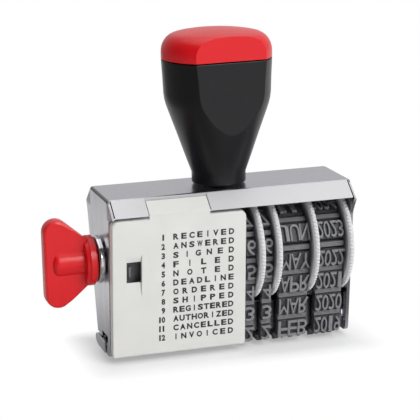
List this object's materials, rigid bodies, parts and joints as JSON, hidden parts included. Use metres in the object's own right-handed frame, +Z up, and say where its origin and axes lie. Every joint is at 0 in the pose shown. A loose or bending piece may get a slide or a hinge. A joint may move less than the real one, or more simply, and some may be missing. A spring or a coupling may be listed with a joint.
{
  "type": "rotary date stamp",
  "caption": "Hand date stamp: folded metal frame with rubber type bands on thumb wheels, a phrase band behind a hooked cover, a side knob and a flared handle.",
  "frame": {"origin": "centre of the printing row: on the printing face of the type, in the frame's middle plane and under the axle", "axes": "+X along the printing row towards the year band, -Y the front with the cover and the bands that are read, +Z up towards the handle; it stands on its printing row at Z = 0"},
  "size_m": [0.0749, 0.0265, 0.0765],
  "materials": {
    "nickelled_steel": "satin nickel",
    "polished_chrome": "polished",
    "zinc_steel": "zinc plated",
    "cover_plastic": "off-white, fine satin",
    "wheel_plastic": "light grey",
    "band_rubber": "dark grey, matt",
    "red_plastic": "red, polished",
    "black_plastic": "black, satin"
  },
  "bodies": {
    "stamp": {"frame": "nickelled_steel", "handle_body": "black_plastic", "handle_cap": "red_plastic", "handle_screw": "zinc_steel", "handle_washer": "zinc_steel", "axle": "polished_chrome", "knob_bush": "polished_chrome", "bridge": "nickelled_steel", "cover": "cover_plastic", "phrase_band": "band_rubber", "tens_band": "band_rubber", "units_band": "band_rubber", "month_band": "band_rubber", "year_band": "band_rubber"},
    "phrase_turner": {"knob": "red_plastic", "phrase_drum": "wheel_plastic"},
    "tens_turner": {"tens_wheel": "wheel_plastic"},
    "units_turner": {"units_wheel": "wheel_plastic"},
    "month_turner": {"month_wheel": "wheel_plastic"},
    "year_turner": {"year_wheel": "wheel_plastic"}
  },
  "joints": [
    {"name": "phrase_turn", "type": "hinge", "parent": "stamp", "child": "phrase_turner", "pos_m": [0, 0, 0.024], "axis": [1, 0, 0], "continuous": true},
    {"name": "tens_turn", "type": "hinge", "parent": "stamp", "child": "tens_turner", "pos_m": [0, 0, 0.024], "axis": [1, 0, 0], "continuous": true},
    {"name": "units_turn", "type": "hinge", "parent": "stamp", "child": "units_turner", "pos_m": [0, 0, 0.024], "axis": [1, 0, 0], "continuous": true},
    {"name": "month_turn", "type": "hinge", "parent": "stamp", "child": "month_turner", "pos_m": [0, 0, 0.024], "axis": [1, 0, 0], "continuous": true},
    {"name": "year_turn", "type": "hinge", "parent": "stamp", "child": "year_turner", "pos_m": [0, 0, 0.024], "axis": [1, 0, 0], "continuous": true}
  ]
}
